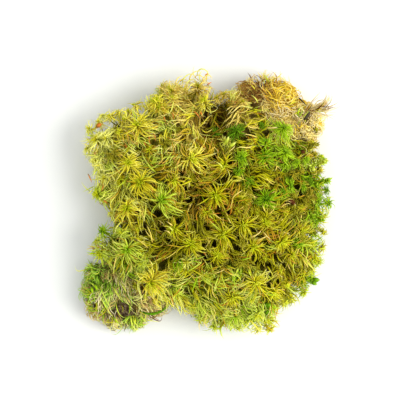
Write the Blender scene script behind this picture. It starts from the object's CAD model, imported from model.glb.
import math

import bpy
import numpy as np
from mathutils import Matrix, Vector
from mathutils.bvhtree import BVHTree


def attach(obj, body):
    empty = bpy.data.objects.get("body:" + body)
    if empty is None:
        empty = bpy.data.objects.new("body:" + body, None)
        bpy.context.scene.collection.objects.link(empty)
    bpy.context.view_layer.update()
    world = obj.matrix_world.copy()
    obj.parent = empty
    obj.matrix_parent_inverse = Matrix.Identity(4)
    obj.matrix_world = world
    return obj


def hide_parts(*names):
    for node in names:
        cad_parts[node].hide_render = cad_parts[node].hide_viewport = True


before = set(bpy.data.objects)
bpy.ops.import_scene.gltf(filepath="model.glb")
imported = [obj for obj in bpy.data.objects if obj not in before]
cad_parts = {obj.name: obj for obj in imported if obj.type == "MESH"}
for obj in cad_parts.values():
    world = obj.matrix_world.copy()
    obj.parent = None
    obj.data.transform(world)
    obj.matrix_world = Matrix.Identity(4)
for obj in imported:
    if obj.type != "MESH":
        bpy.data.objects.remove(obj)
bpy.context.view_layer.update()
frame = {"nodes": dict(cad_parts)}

# A clump of peat moss. Every branch is a thin tapering tube whose rings are worked out as
# whole arrays. The large heads take their place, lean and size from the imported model's
# heads, and the branches between them grow from the surface of its mat.

MM = 0.001
MM_PER_PIXEL = 0.55
PIXEL = MM_PER_PIXEL * MM
CLUMP_PIXEL = (206.0, 204.3)      # where the model's upright axis stands in the photograph
FRAME_PIXELS = 416
CAMERA_PIXEL = (208.0, 208.0)     # the middle of the frame, which the camera stands over
CAMERA_HEIGHT = 0.90
FOCUS_HEIGHT = 0.030              # height at which a pixel measures MM_PER_PIXEL
SENSOR_WIDTH = 36.0               # millimetres
RAY_HEIGHT = 0.1                  # a height above all the moss, where rays down start
BAKE_MAP = "OFBake"

# A branch's map: across it runs along the branch, and up it goes through the lanes
LANE_FILL = 0.86                  # share of a lane that its shades take up
MAP_WIDTH = 0.012                 # how far the two sides of a branch lie apart on the map
MAP_FOOT = 0.01                   # how far the corners of its foot are spread along the map
GROWN_BY = 0.40                   # share of a branch by which its body's colour is reached
RIPE_FROM = 0.55                  # share of a branch from which it turns to its tip's colour
LEAF_SHADES = (0.86, 1.10)        # brightness of a leaf at its foot and at its tip
FIBRE_LUMPS = 0.7                 # lumps of old fibre in a millimetre of peat

# Counts and sizes of what grows, in millimetres where nothing else is said
GOLDEN_ANGLE = math.pi * (3 - math.sqrt(5))
RIDGE_TURN = 0.3                  # turn of a branch's ridges, so that no two lie level
THIN_SIDES, ROUND_SIDES = 3, 4    # sides of a plain branch and of one that is seen close
GAP_SHARE = 0.72                  # how much of a gap's radius the branches stay out of
EDGE_SLACK = (-0.004, 0.022)      # mean and scatter of how far tips stray past the edge
FIRST_SHOOTS = 22                 # how many large heads are in the first of their pieces
WIDEST_REACH = 10.0               # furthest reach of a large head
STEM_FOOT = 3.2                   # the corners of a stem's foot lie this near one another
STEM_DEPTH = 7.0                  # how far down its stem a tall shoot bears branches
SMALL_HEAD_RISE = 3.4             # height of a small head's middle above the mat
SMALL_HEAD_ROOT = 3.0             # depth of its stem's foot in the mat
RIM_RADIUS = 65.0                 # how far from the middle small heads lean the most
RIM_LEAN = 0.65                   # slope of their lean there
RIM_HEIGHT = 18.0                 # height at which one beside the mat's top looks for it
BASE_MARGIN = 1.5                 # no branch grows on faces that lie all below this height
UNDERSIDE = -0.75                 # nor on faces whose upright part points down this much
STEEP = 0.3                       # below this upright part a face is too steep for a head
BESIDE = 0.35                     # and below this one a face of the mat is its side
HEAD_COVER = 0.45                 # share of a head's radius under which the mat is bare
LAID_SINK = 0.6                   # depth of a laid strand's ends under the solids' top
LOOSE_HEIGHT = 16.0               # height of a strand that is laid wholly beside the solids
SPRIG_LEAVES, SPRIG_LEAF = 76, 4.0  # how many leaves a sprig has, and how long
SPRIG_LANES = ("olive", "lime", "green", "green")
DRY_STRANDS = 80
CRUMBS, CRUMB_SINK = 150, 0.6     # how many crumbs of soil, and how deep they lie
HOLLOW_GAP = 0.7                  # the body shows where it stands this far off the solids
HOLLOW_PATCH = 7.0                # square millimetres of it for each lock of branches

# The peat body under the branches
BODY_NODES = ("mat", "withered_tuft", "fine_moss")
BODY_SPOKES, SIDE_RINGS, TOP_RINGS = 144, 9, 28
BODY_INSET = 2.6                  # how far it lies inside those solids
BODY_FOOT, BODY_RISE = 0.3, 15.5  # height of its lowest ray, and of its highest above that
FULL_LIGHT = 12.0                 # height up to which its colour darkens toward the base
BASE_LIGHT = 0.55                 # brightness of its colour at the base
GAP_DARKNESS = 0.75               # how much darker its colour is in the middle of a gap

# Routes in the photograph's pixels, and the soil spot's middle and radius there
GRASS_ROUTE = ((140, 311), (146, 313), (153, 314), (160, 312), (166, 307), (171, 300))
NEEDLE_ROUTE = ((299, 98), (303, 102), (307, 106))
DEAD_LEAF_ROUTES = (((304, 120), (308, 115), (310, 111)), ((308, 198), (311, 196), (315, 195)))
SOIL_PIXEL, SOIL_RADIUS = (123, 311), 5.76

draw = np.random.default_rng(20)


def linear(code):
    """Turn an sRGB hex colour into linear red, green, blue and alpha.

    Each channel below 0.04045 is divided by 12.92, and any other is shifted by 0.055,
    divided by 1.055 and raised to the power 2.4.
    """
    channels = [int(code[i:i + 2], 16) / 255 for i in (1, 3, 5)]
    return [
        c / 12.92 if c <= 0.04045 else ((c + 0.055) / 1.055) ** 2.4 for c in channels
    ] + [1.0]


# Living peat moss: for each lane the dark and light shade of a branch's base, body and tip
LIVING = {
    "yellow": (("#706c04", "#908c0e"), ("#aca808", "#d6d022"), ("#d8d040", "#f0e67c")),
    "heart": (("#8a9408", "#a8b210"), ("#b2bc08", "#d4d81e"), ("#d0d82a", "#ecec5c")),
    "sunny": (("#a89e20", "#c8be30"), ("#e0d428", "#f6ec4c"), ("#f2e45c", "#fef49c")),
    "gold": (("#6c5a04", "#8a760c"), ("#ac960a", "#d0b428"), ("#d8903a", "#f2c06c")),
    "pale": (("#b4b234", "#ced250"), ("#e0e254", "#f2f276"), ("#ecec7c", "#fafaa8")),
    "straw": (("#bc9e38", "#d6b84a"), ("#e8d058", "#f8e27a"), ("#f2d874", "#feeea8")),
    "lime": (("#829014", "#a2ac26"), ("#b8ca2a", "#d8e650"), ("#d8e85c", "#f2f88c")),
    "green": (("#4a6604", "#64820a"), ("#80a806", "#a8cc1a"), ("#aaca24", "#d6ea58")),
    "deep": (("#304e04", "#466a08"), ("#52820a", "#78a114"), ("#80a61c", "#b2d23c")),
    "olive": (("#524e04", "#6c660c"), ("#807c0a", "#a49e20"), ("#aaa234", "#d0c850")),
    "shade": (("#4a3808", "#624c0e"), ("#70580e", "#90761c"), ("#988028", "#bca444")),
    "rust": (("#604e04", "#80680a"), ("#a68612", "#caa62a"), ("#c46422", "#e89848")),
    "ember": (("#8c5c12", "#ac7820"), ("#c46c22", "#e08c3c"), ("#d0742c", "#f0a458")),
    "bark": (("#2c160a", "#402010"), ("#442612", "#603418"), ("#5c381a", "#7c5026")),
}
WITHERED = {
    "tan": (("#d6b850", "#eccc66"), ("#f4de6c", "#feee94"), ("#f8e68c", "#fef4b4")),
    "golden": (("#cca01e", "#e4b834"), ("#f2cc30", "#fcde4c"), ("#fadc50", "#ffee84")),
    "ochre": (("#a47820", "#c09438"), ("#cea23a", "#e4ba52"), ("#deb850", "#f2d478")),
    "brown": (("#643f12", "#845c26"), ("#9a6c2c", "#bc8e48"), ("#b88c4a", "#dcb47c")),
    "straw": (("#d2b462", "#e6cc7e"), ("#f4da8c", "#fcecb4"), ("#f8e4ac", "#fef4d0")),
    "dark": (("#0e0a04", "#2e240c"), ("#181206", "#4e401c"), ("#241c0c", "#6e5a2e")),
}
FINE = {
    "fern": (("#64901c", "#84ac2c"), ("#94c428", "#bae44a"), ("#bae054", "#e4f490")),
    "deep": (("#48680c", "#608616"), ("#749c18", "#98bc30"), ("#9cbc38", "#c6e060")),
    "moss": (("#9aa03c", "#b6bc4c"), ("#c8cc54", "#e6e87c"), ("#e0e278", "#f8f4a8")),
    "straw": (("#b49c58", "#d0b874"), ("#e4d088", "#f6eab8"), ("#f0e2b4", "#fcf6dc")),
    "ochre": (("#a88e3c", "#c4a84c"), ("#d8bc58", "#f0d67c"), ("#e8d078", "#fceca8")),
    "brown": (("#84602c", "#a07c48"), ("#ae8844", "#cea868"), ("#c49e60", "#e6c88c")),
    "soil": (("#2a1e10", "#40301c"), ("#483822", "#685438"), ("#6c5c44", "#8c7c60")),
}

# The ground's own colour under each kind of moss
GROUND = {
    "pale": "#d8d258", "sunny": "#c8bc38", "straw": "#d4b850", "yellow": "#a89820",
    "gold": "#80680e", "lime": "#b0b830", "green": "#62700c", "deep": "#3e520a",
    "olive": "#64580c", "shade": "#64480e", "rust": "#5c480a", "tan": "#f0dc90",
    "golden": "#e6b838", "ochre": "#c09840", "brown": "#7c5a2a", "soil": "#34281a",
    "fern": "#94b850", "moss": "#bcbc64",
}

# Which lanes a head's heart, rays and skirt take, and the share of its rays with rusty tips
KINDS = {
    "yellow": ("heart", "yellow", "pale", 0.16),
    "gold": ("heart", "yellow", "olive", 0.42),
    "sunny": ("heart", "sunny", "pale", 0.15),
    "pale": ("yellow", "pale", "pale", 0.05),
    "straw": ("yellow", "straw", "straw", 0.20),
    "lime": ("heart", "lime", "pale", 0.04),
    "fresh": ("green", "lime", "lime", 0.04),
    "green": ("deep", "green", "lime", 0.02),
    "deep": ("deep", "deep", "olive", 0.0),
    "olive": ("olive", "olive", "olive", 0.10),
    "shade": ("shade", "shade", "shade", 0.05),
}

# The four lanes that a branch of each kind of moss between the heads is drawn from
KIND_LANES = {
    "yellow": ("yellow", "gold", "pale", "lime"),
    "gold": ("yellow", "gold", "rust", "olive"),
    "sunny": ("sunny", "sunny", "pale", "lime"),
    "pale": ("pale", "pale", "sunny", "lime"),
    "straw": ("straw", "straw", "pale", "sunny"),
    "lime": ("lime", "lime", "green", "yellow"),
    "green": ("green", "yellow", "olive", "lime"),
    "deep": ("deep", "green", "green", "olive"),
    "olive": ("olive", "yellow", "olive", "yellow"),
    "shade": ("shade", "olive", "shade", "gold"),
    "rust": ("rust", "olive", "yellow", "yellow"),
}
WITHERED_LANES = {
    "tan": ("tan", "straw", "tan", "golden"),
    "golden": ("golden", "golden", "tan", "golden"),
    "ochre": ("ochre", "golden", "tan", "brown"),
    "brown": ("brown", "ochre", "brown", "tan"),
    "straw": ("straw", "tan", "straw", "tan"),
}
FINE_LANES = {
    "fern": ("fern", "fern", "deep", "moss"),
    "deep": ("deep", "fern", "deep", "fern"),
    "moss": ("moss", "fern", "moss", "straw"),
    "brown": ("brown", "ochre", "brown", "fern"),
    "ochre": ("ochre", "straw", "moss", "brown"),
    "straw": ("straw", "moss", "ochre", "straw"),
    "soil": ("soil", "soil", "soil", "brown"),
}

# The kinds of the large heads, in the order of their numbers
HEAD_KINDS = (
    "sunny straw sunny sunny fresh gold sunny yellow yellow fresh yellow green sunny yellow "
    "yellow yellow green lime green deep yellow gold sunny gold yellow sunny pale straw yellow "
    "yellow yellow lime fresh lime lime green sunny pale olive green green yellow yellow "
    "sunny green"
).split()

# Heads that stand clear of the mat, with branches down their stems
TALL_SHOOTS = (2, 7, 18, 34, 35, 41, 43, 44)

# Heads that reach less far than their solid, and how far: number and share
SLIM_HEADS = {12: 0.9, 19: 0.85, 20: 0.8, 36: 0.85, 40: 0.9, 17: 0.9, 45: 0.9, 2: 0.84}

# Smaller heads between them: place in the photograph, width in its pixels, kind
SMALL_HEADS = (
    (108, 140, 22, "pale"), (160, 110, 22, "sunny"), (184, 93, 18, "straw"),
    (165, 144, 18, "olive"), (184, 149, 20, "olive"), (226, 142, 18, "pale"),
    (215, 134, 15, "deep"), (238, 171, 16, "green"), (265, 143, 20, "green"),
    (262, 126, 12, "deep"), (285, 164, 16, "green"), (248, 181, 18, "green"),
    (243, 199, 20, "yellow"), (103, 231, 17, "green"), (256, 213, 14, "yellow"),
    (291, 254, 22, "yellow"), (283, 213, 18, "yellow"), (295, 215, 18, "olive"),
    (298, 243, 16, "green"), (310, 245, 18, "lime"), (314, 220, 18, "green"),
    (283, 192, 15, "green"), (285, 283, 16, "yellow"), (305, 160, 12, "green"),
    (311, 144, 12, "yellow"), (320, 157, 12, "lime"), (318, 170, 11, "olive"),
    (304, 150, 10, "lime"), (296, 163, 12, "green"), (300, 172, 11, "olive"),
    (310, 180, 11, "deep"), (315, 188, 10, "deep"), (302, 186, 11, "green"),
    (306, 197, 11, "olive"), (313, 207, 12, "olive"), (318, 197, 11, "green"),
    (300, 208, 12, "yellow"), (293, 174, 12, "olive"), (292, 196, 12, "olive"),
    (313, 155, 12, "olive"), (312, 166, 11, "olive"), (309, 193, 12, "olive"),
    (314, 196, 12, "shade"), (311, 200, 12, "olive"), (320, 183, 11, "green"),
    (304, 203, 11, "olive"), (316, 214, 12, "green"), (309, 225, 12, "lime"),
    (233, 98, 14, "straw"), (216, 99, 14, "straw"), (242, 103, 14, "straw"),
    (300, 274, 20, "yellow"), (309, 270, 16, "lime"), (175, 165, 16, "olive"),
    (139, 228, 15, "yellow"), (150, 150, 16, "gold"), (205, 180, 17, "gold"),
    (237, 210, 16, "gold"), (205, 212, 17, "gold"), (180, 128, 18, "olive"),
    (186, 262, 20, "pale"), (205, 275, 20, "lime"), (176, 292, 22, "lime"),
    (193, 304, 20, "lime"), (215, 310, 20, "lime"), (240, 262, 18, "olive"),
    (264, 258, 17, "yellow"), (250, 298, 17, "lime"), (284, 300, 15, "lime"),
    (142, 262, 18, "lime"), (141, 273, 16, "lime"), (162, 274, 16, "sunny"),
    (146, 293, 16, "lime"), (158, 288, 14, "lime"), (137, 284, 15, "yellow"),
    (122, 232, 17, "lime"), (113, 212, 18, "pale"), (106, 178, 18, "pale"),
    (122, 180, 17, "yellow"), (158, 190, 16, "yellow"), (186, 218, 16, "olive"),
    (240, 240, 16, "olive"), (163, 88, 18, "straw"), (172, 100, 18, "sunny"),
    (135, 107, 18, "sunny"), (104, 117, 15, "pale"), (120, 114, 15, "pale"),
    (130, 113, 14, "sunny"), (120, 133, 17, "yellow"), (245, 318, 18, "lime"),
    (91, 130, 17, "pale"), (89, 149, 14, "pale"), (100, 123, 15, "pale"), (112, 117, 17, "sunny"),
    (268, 262, 14, "olive"), (280, 270, 15, "yellow"), (98, 240, 15, "lime"),
    (326, 190, 11, "deep"), (327, 203, 16, "green"), (323, 216, 13, "lime"),
    (322, 232, 13, "yellow"), (321, 247, 13, "yellow"), (318, 262, 13, "lime"),
    (200, 318, 15, "lime"), (215, 325, 15, "lime"), (238, 327, 14, "lime"),
    (257, 329, 14, "pale"), (269, 328, 13, "yellow"), (309, 279, 14, "green"),
    (303, 291, 14, "lime"), (322, 160, 12, "green"), (224, 96, 16, "straw"),
)

# Colours of the moss between the heads: place in the photograph and kind
REGIONS = (
    (100, 150, "pale"), (120, 190, "pale"), (160, 130, "sunny"), (190, 95, "straw"),
    (165, 165, "yellow"), (152, 222, "olive"), (165, 245, "olive"), (185, 205, "green"),
    (212, 216, "gold"), (215, 122, "shade"), (222, 114, "shade"), (235, 98, "straw"),
    (230, 150, "olive"), (255, 140, "olive"), (288, 145, "lime"), (250, 185, "olive"),
    (290, 190, "olive"), (310, 165, "olive"), (318, 190, "green"), (268, 212, "gold"),
    (300, 230, "green"), (250, 240, "olive"), (214, 250, "olive"), (185, 275, "lime"),
    (210, 292, "lime"), (160, 285, "sunny"), (240, 275, "lime"), (270, 266, "olive"),
    (300, 282, "lime"), (232, 318, "lime"), (110, 235, "lime"), (122, 262, "lime"),
    (140, 105, "sunny"), (225, 300, "pale"), (195, 285, "lime"), (250, 305, "lime"),
    (306, 150, "yellow"), (300, 200, "olive"), (316, 205, "green"), (312, 240, "lime"),
    (175, 300, "pale"), (202, 158, "gold"), (134, 150, "yellow"), (117, 151, "pale"),
    (218, 108, "shade"), (190, 198, "shade"), (190, 125, "straw"), (285, 268, "olive"),
    (240, 118, "straw"), (265, 115, "yellow"), (150, 205, "yellow"), (160, 232, "olive"),
    (305, 178, "deep"), (115, 175, "pale"), (108, 205, "pale"), (228, 235, "olive"),
    (262, 200, "olive"), (282, 222, "olive"), (195, 225, "olive"), (175, 190, "olive"),
    (102, 165, "pale"), (200, 320, "straw"), (260, 322, "pale"), (228, 205, "rust"),
    (317, 262, "lime"), (320, 225, "green"), (100, 195, "pale"),
)
WITHERED_REGIONS = (
    (243, 86, "brown"), (250, 82, "brown"), (257, 78, "brown"), (262, 86, "brown"),
    (270, 76, "golden"), (283, 80, "golden"), (278, 92, "golden"), (288, 96, "golden"),
    (294, 104, "golden"), (280, 110, "golden"), (264, 97, "brown"), (254, 99, "ochre"),
    (300, 116, "straw"), (308, 126, "straw"), (316, 118, "tan"), (303, 136, "straw"),
    (290, 116, "straw"), (292, 128, "tan"), (268, 106, "tan"), (314, 132, "straw"),
    (248, 94, "brown"), (236, 96, "ochre"), (286, 88, "golden"), (298, 126, "tan"),
    (272, 84, "ochre"),
)
FINE_REGIONS = (
    (106, 262, "brown"), (114, 268, "brown"), (120, 278, "moss"), (92, 268, "fern"),
    (90, 280, "deep"), (92, 290, "fern"), (102, 290, "moss"), (104, 279, "deep"),
    (112, 284, "moss"), (120, 290, "moss"), (130, 298, "moss"), (150, 302, "ochre"),
    (87, 298, "brown"), (97, 312, "ochre"), (90, 307, "brown"), (108, 321, "straw"),
    (122, 320, "moss"), (134, 318, "fern"), (144, 310, "ochre"), (136, 290, "ochre"),
    (158, 300, "ochre"), (112, 302, "moss"), (100, 300, "moss"), (124, 303, "moss"),
    (138, 304, "straw"), (146, 296, "ochre"), (118, 300, "ochre"), (123, 312, "soil"),
    (120, 311, "soil"), (126, 311, "soil"), (123, 309, "soil"), (129, 310, "soil"),
)

# Which way the moss is combed: place in the photograph, degrees counterclockwise from right
COMBING = (
    (92, 128, 100), (105, 125, 60), (115, 130, -60), (100, 148, -55), (90, 155, -100),
    (105, 165, -80), (122, 115, 70), (140, 112, 70), (126, 140, -120), (145, 135, -45),
    (150, 147, -58), (166, 155, -35), (170, 145, -20), (176, 130, -75), (160, 170, -35),
    (115, 178, -90), (152, 190, -45), (185, 80, 70), (200, 76, 40), (208, 82, 15), (184, 90, 95),
    (190, 105, 200), (215, 97, 5), (228, 95, 20), (225, 104, -40), (190, 124, -97),
    (217, 126, -65), (238, 112, -90), (232, 118, -60), (250, 115, -70), (265, 112, -92),
    (255, 127, 0), (262, 143, 180), (285, 152, -90), (115, 225, -50), (110, 241, -38),
    (120, 251, -50), (150, 205, -18), (152, 222, -10), (135, 226, -85), (172, 203, -18),
    (172, 212, -60), (160, 241, 180), (185, 251, -120), (190, 263, -40), (165, 226, -35),
    (210, 166, 140), (205, 216, -50), (226, 206, -62), (215, 221, -50), (240, 190, -70),
    (260, 180, -30), (255, 166, 0), (280, 180, -120), (275, 215, 25), (290, 210, -20),
    (240, 240, -45), (285, 230, 40), (186, 280, -20), (210, 287, -42), (216, 305, -25),
    (204, 324, -65), (225, 326, -100), (240, 326, -90), (255, 326, -90), (268, 325, -45),
    (240, 260, -60), (275, 276, -100), (296, 270, -60), (300, 291, -20), (285, 300, -45),
    (245, 83, 200), (258, 76, 178), (268, 86, -30), (275, 77, 92), (284, 82, 72), (288, 95, 45),
    (280, 98, 100), (295, 105, -30), (285, 111, 170), (300, 125, -80), (315, 118, -45),
    (305, 136, -62), (256, 98, 190), (93, 268, -78), (112, 266, -42), (121, 286, -62),
    (104, 298, -57), (116, 318, -50), (87, 285, 150), (95, 312, -35), (130, 296, 0),
    (155, 302, -15), (134, 320, -75), (310, 150, -30), (318, 170, -10), (310, 185, -50),
    (318, 215, -20), (312, 245, -25), (316, 262, -40),
)

# How the moss grows: place, and the thickness and length of its branches there as shares
GROWTH = (
    (165, 85, 0.62, 0.9), (185, 85, 0.58, 0.9), (205, 76, 0.58, 0.9), (212, 95, 0.64, 0.9),
    (150, 115, 0.8, 0.85), (180, 108, 0.64, 0.9), (198, 125, 0.68, 0.9), (100, 140, 0.82, 0.85),
    (165, 130, 0.74, 0.9), (105, 170, 0.85, 0.85), (140, 155, 0.95, 0.95), (235, 110, 0.66, 0.95),
    (262, 118, 0.72, 0.85), (150, 190, 1.0, 1.0), (200, 170, 1.0, 1.0), (220, 215, 1.0, 1.0),
    (260, 190, 1.0, 1.0), (150, 230, 0.95, 1.0), (190, 250, 0.95, 1.0), (240, 250, 1.0, 0.95),
    (285, 240, 0.95, 0.9), (280, 150, 0.95, 0.85), (306, 150, 0.8, 0.55), (305, 172, 0.8, 0.5),
    (300, 192, 0.8, 0.5), (316, 190, 0.8, 0.55), (306, 212, 0.85, 0.65), (316, 240, 0.9, 0.75),
    (300, 275, 0.9, 0.85), (120, 235, 0.85, 0.9), (150, 280, 0.9, 1.0), (190, 285, 0.78, 1.15),
    (215, 300, 0.76, 1.15), (240, 320, 0.78, 0.95), (265, 310, 0.82, 0.8), (275, 285, 0.95, 0.85),
)

# Dark gaps between the shoots: place and radius in the photograph's pixels
GAPS = (
    (181, 173, 3), (116, 139, 2), (158, 135, 3), (154, 142, 3), (158, 214, 5), (163, 229, 4),
    (178, 221, 4), (142, 233, 4), (145, 226, 3), (152, 204, 3), (168, 241, 3), (162, 265, 5),
    (187, 201, 3), (195, 225, 3), (121, 226, 3), (205, 257, 4), (186, 188, 3), (140, 198, 3),
    (214, 157, 3), (230, 163, 3), (219, 215, 3), (229, 212, 3), (191, 199, 3), (214, 244, 4),
    (204, 245, 3), (238, 238, 3), (253, 231, 3), (207, 229, 3), (297, 187, 4), (262, 268, 3),
    (268, 264, 4), (275, 255, 3), (278, 281, 3), (269, 285, 3), (202, 284, 4), (205, 290, 4),
    (236, 248, 4), (253, 257, 3), (284, 266, 3), (270, 275, 3), (219, 119, 3), (208, 126, 3),
    (252, 116, 4), (247, 131, 4), (266, 133, 4), (225, 134, 3), (253, 105, 3), (206, 114, 3),
    (306, 119, 3), (310, 114, 2), (264, 83, 2), (260, 87, 2), (123, 311, 9), (95, 306, 3),
    (94, 285, 3), (100, 262, 3), (114, 280, 2), (144, 293, 2), (142, 288, 3), (135, 311, 2),
    (196, 168, 2), (186, 290, 3), (240, 290, 3), (168, 118, 3), (178, 125, 3), (172, 131, 2),
    (163, 141, 2),
)

# How much lighter or darker the moss is than its kind: place and share of a lane's width
LIGHTNESS = (
    (249, 305, 0.6), (271, 305, 0.7), (293, 151, 1.0), (315, 151, 0.8), (227, 283, 0.4),
    (293, 129, 0.9), (95, 305, 0.5), (117, 305, 0.8), (117, 151, 1.0), (117, 129, 0.8),
    (95, 151, 0.7), (95, 129, 0.7), (183, 151, 0.4), (183, 173, 0.4), (315, 173, 0.5),
    (271, 85, -0.4), (117, 283, -0.4), (139, 217, 0.2), (139, 195, -0.9), (139, 151, -0.3),
    (139, 173, -0.6), (161, 173, -0.6), (161, 239, -0.6), (271, 217, -0.4), (227, 195, -0.5),
    (271, 195, -0.5), (271, 173, -0.5), (205, 283, -0.4), (227, 129, -0.4), (205, 129, -0.4),
    (183, 100, 0), (205, 173, 0), (183, 217, -0.2), (205, 239, -0.2), (249, 239, -0.2),
    (293, 195, 0), (293, 239, 0), (293, 283, 0), (139, 129, 0), (117, 195, 0), (139, 261, 0),
    (161, 283, 0), (183, 305, 0.1), (249, 151, 0), (286, 90, 0), (205, 85, 0), (117, 217, 0),
    (161, 107, 0), (249, 217, -0.2), (249, 173, -0.2),
)

# The clump's edge as the photograph shows it, counterclockwise from the upper left
EDGE = (
    (84, 128), (82, 137), (81, 146), (85, 158), (90, 165), (97, 168), (94, 176), (88, 173),
    (85, 180), (82, 187), (87, 195), (98, 202), (108, 205), (112, 208), (108, 217), (103, 222),
    (98, 221), (97, 236), (95, 242), (88, 248), (87, 258), (85, 268), (83, 285), (83, 296),
    (84, 308), (95, 316), (105, 324), (114, 328), (124, 326), (134, 331), (146, 324), (150, 318),
    (160, 322), (164, 312), (174, 311), (186, 315), (197, 321), (204, 327), (214, 334),
    (224, 334), (238, 331), (256, 333), (268, 334), (278, 331), (281, 322), (276, 314),
    (281, 310), (290, 308), (300, 302), (308, 296), (310, 288), (319, 283), (319, 275),
    (316, 269), (322, 262), (325, 245), (325, 230), (328, 215), (333, 208), (332, 197),
    (327, 190), (325, 180), (322, 173), (328, 163), (327, 154), (320, 155), (318, 143),
    (314, 138), (322, 136), (324, 124), (327, 116), (322, 106), (313, 109), (303, 106), (296, 98),
    (290, 89), (285, 76), (278, 71), (262, 72), (250, 76), (244, 84), (232, 88), (224, 86),
    (216, 92), (212, 88), (213, 78), (206, 70), (195, 68), (180, 71), (166, 80), (152, 91),
    (140, 103), (130, 109), (118, 109), (106, 116), (96, 118), (88, 122),
)

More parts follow.
